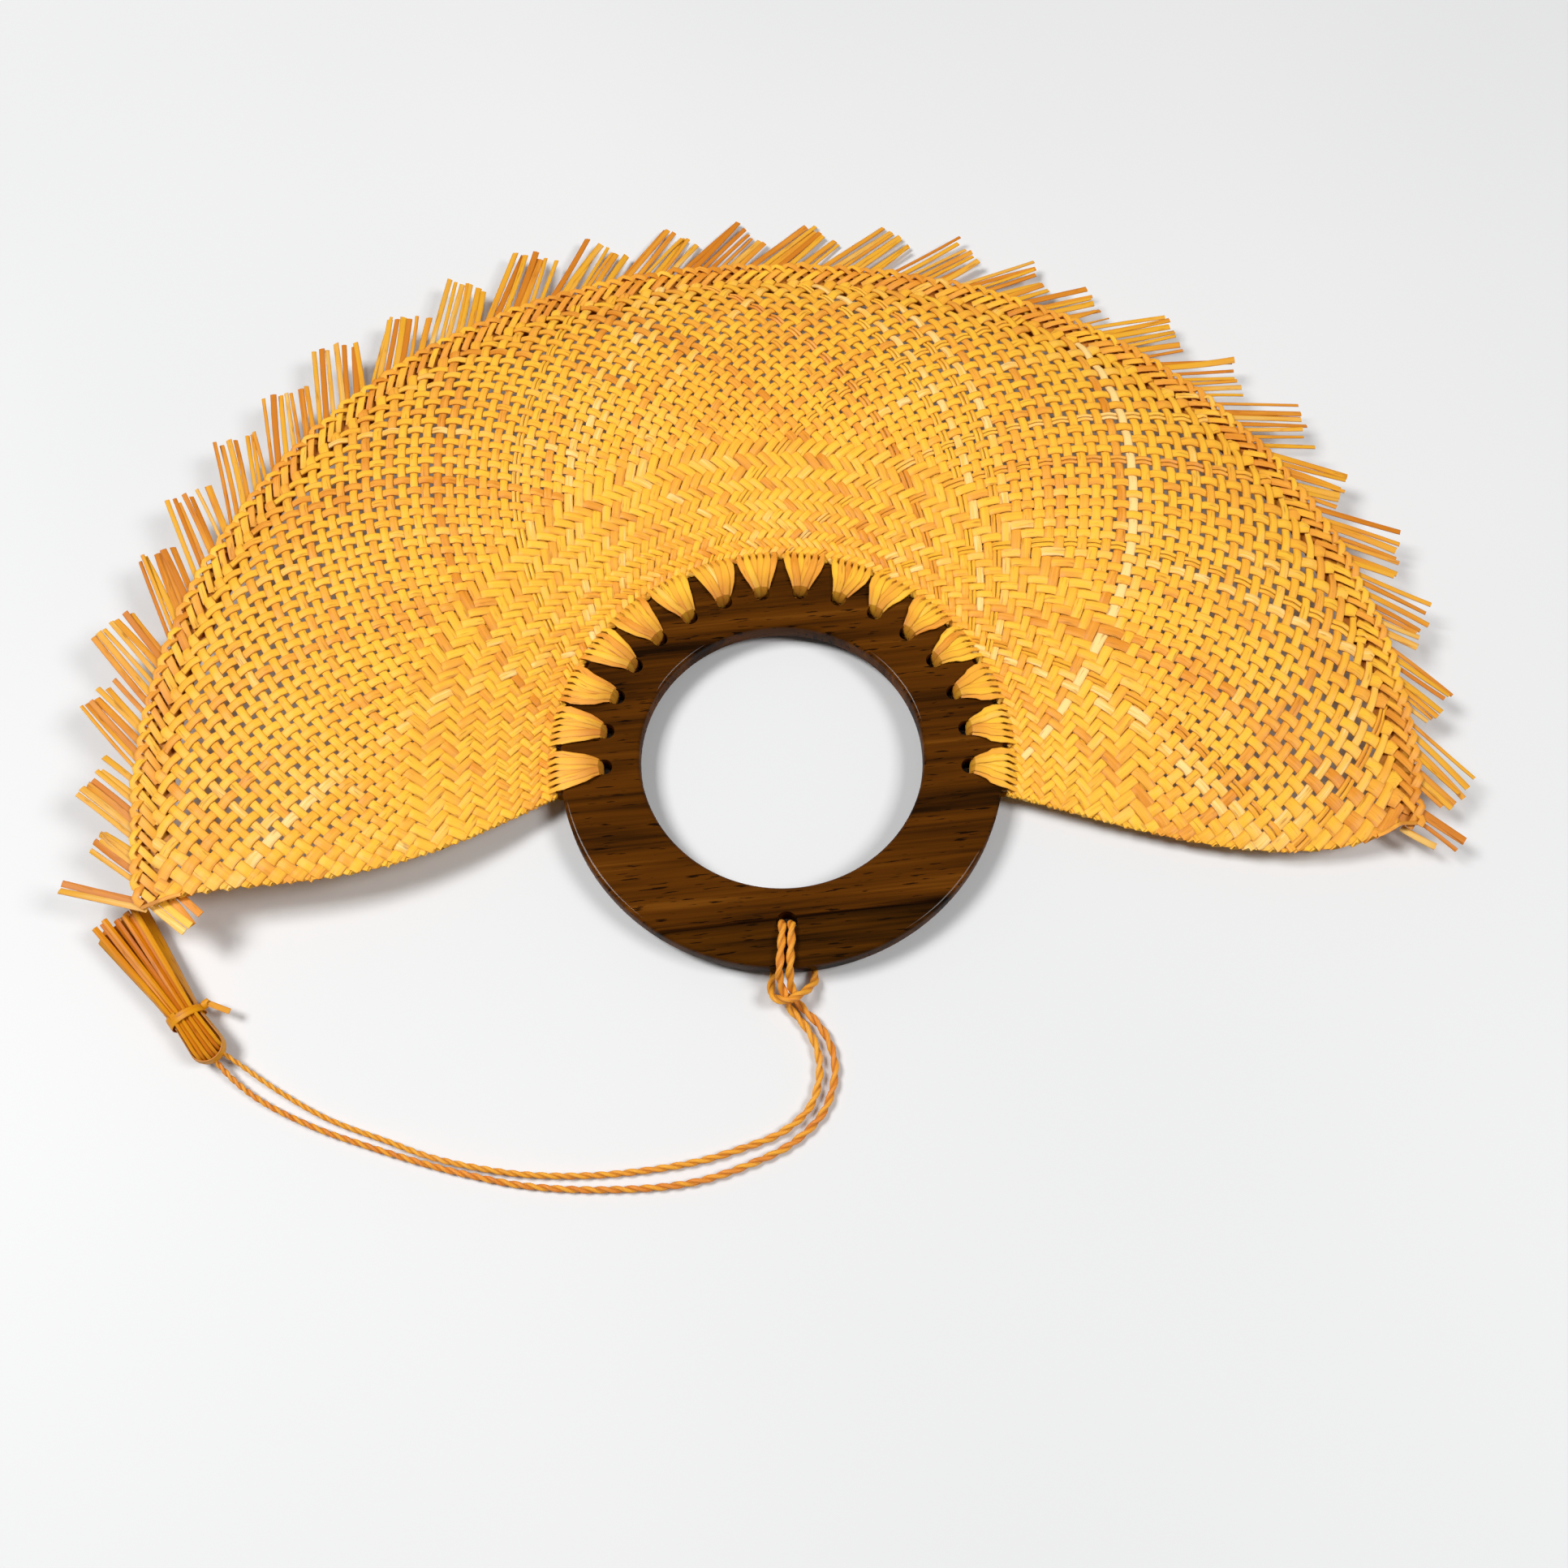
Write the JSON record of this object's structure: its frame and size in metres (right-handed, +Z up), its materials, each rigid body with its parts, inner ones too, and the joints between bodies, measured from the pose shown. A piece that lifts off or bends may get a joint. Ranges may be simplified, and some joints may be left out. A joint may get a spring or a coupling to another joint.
{
  "type": "palm leaf fan",
  "caption": "Hand fan of woven palm strip laced to a flat wooden ring handle, with a plaited rim, a cut fringe and a tasselled wrist cord.",
  "frame": {"origin": "on the table, under the middle of the fan's own box with the wrist cord and tassel left out", "axes": "+X to the fan's right along its width, +Y from the ring handle towards the top of the leaf, +Z up out of the fan's front face"},
  "size_m": [0.3484, 0.2795, 0.0195],
  "materials": {
    "wood": "dark brown striped hardwood under clear gloss lacquer",
    "woven_palm": "dry woven palm strip, satin, golden yellow",
    "palm_strip": "dry palm strip, satin, pale golden yellow",
    "palm_cord": "twisted palm fibre, matt, golden yellow",
    "dark_palm": "dry palm strip, satin, ochre"
  },
  "bodies": {
    "fan": {"ring_handle": "wood", "woven_leaf": "woven_palm", "rim_braid": "woven_palm", "lace_01": "palm_strip", "lace_02": "palm_strip", "lace_03": "palm_strip", "lace_04": "palm_strip", "lace_05": "palm_strip", "lace_06": "palm_strip", "lace_07": "palm_strip", "lace_08": "palm_strip", "lace_09": "palm_strip", "lace_10": "palm_strip", "lace_11": "palm_strip", "lace_12": "palm_strip", "lace_13": "palm_strip", "lace_14": "palm_strip", "lace_15": "palm_strip", "lace_16": "palm_strip", "fringe_01": "palm_strip", "fringe_02": "palm_strip", "fringe_03": "palm_strip", "fringe_04": "palm_strip", "fringe_05": "palm_strip", "fringe_06": "palm_strip", "fringe_07": "palm_strip", "fringe_08": "palm_strip", "fringe_09": "palm_strip", "fringe_10": "palm_strip", "fringe_11": "palm_strip", "fringe_12": "palm_strip", "fringe_13": "palm_strip", "fringe_14": "palm_strip", "fringe_15": "palm_strip", "fringe_16": "palm_strip", "fringe_17": "palm_strip", "fringe_18": "palm_strip", "fringe_19": "palm_strip", "fringe_20": "palm_strip", "fringe_21": "palm_strip", "fringe_22": "palm_strip", "fringe_23": "palm_strip", "fringe_24": "palm_strip", "fringe_25": "palm_strip", "fringe_26": "palm_strip", "fringe_27": "palm_strip", "fringe_28": "palm_strip", "corner_tuft_left": "palm_strip", "corner_tail_right": "palm_strip", "cord_hitch": "palm_cord"},
    "wrist_cord": {"cord_run_inner": "palm_cord", "cord_run_outer": "palm_cord"},
    "tassel": {"tassel_strips": "dark_palm", "tassel_tie": "dark_palm"}
  },
  "joints": [
    {"name": "wrist_cord_swing", "type": "hinge", "parent": "fan", "child": "wrist_cord", "pos_m": [0.00531, -0.1215, 0.0011], "axis": [0, 0, 1], "range_deg": [0, 55]},
    {"name": "tassel_swing", "type": "hinge", "parent": "wrist_cord", "child": "tassel", "pos_m": [-0.13029, -0.13215, 0.0042], "axis": [0, 0, 1], "range_deg": [-30, 30]}
  ]
}
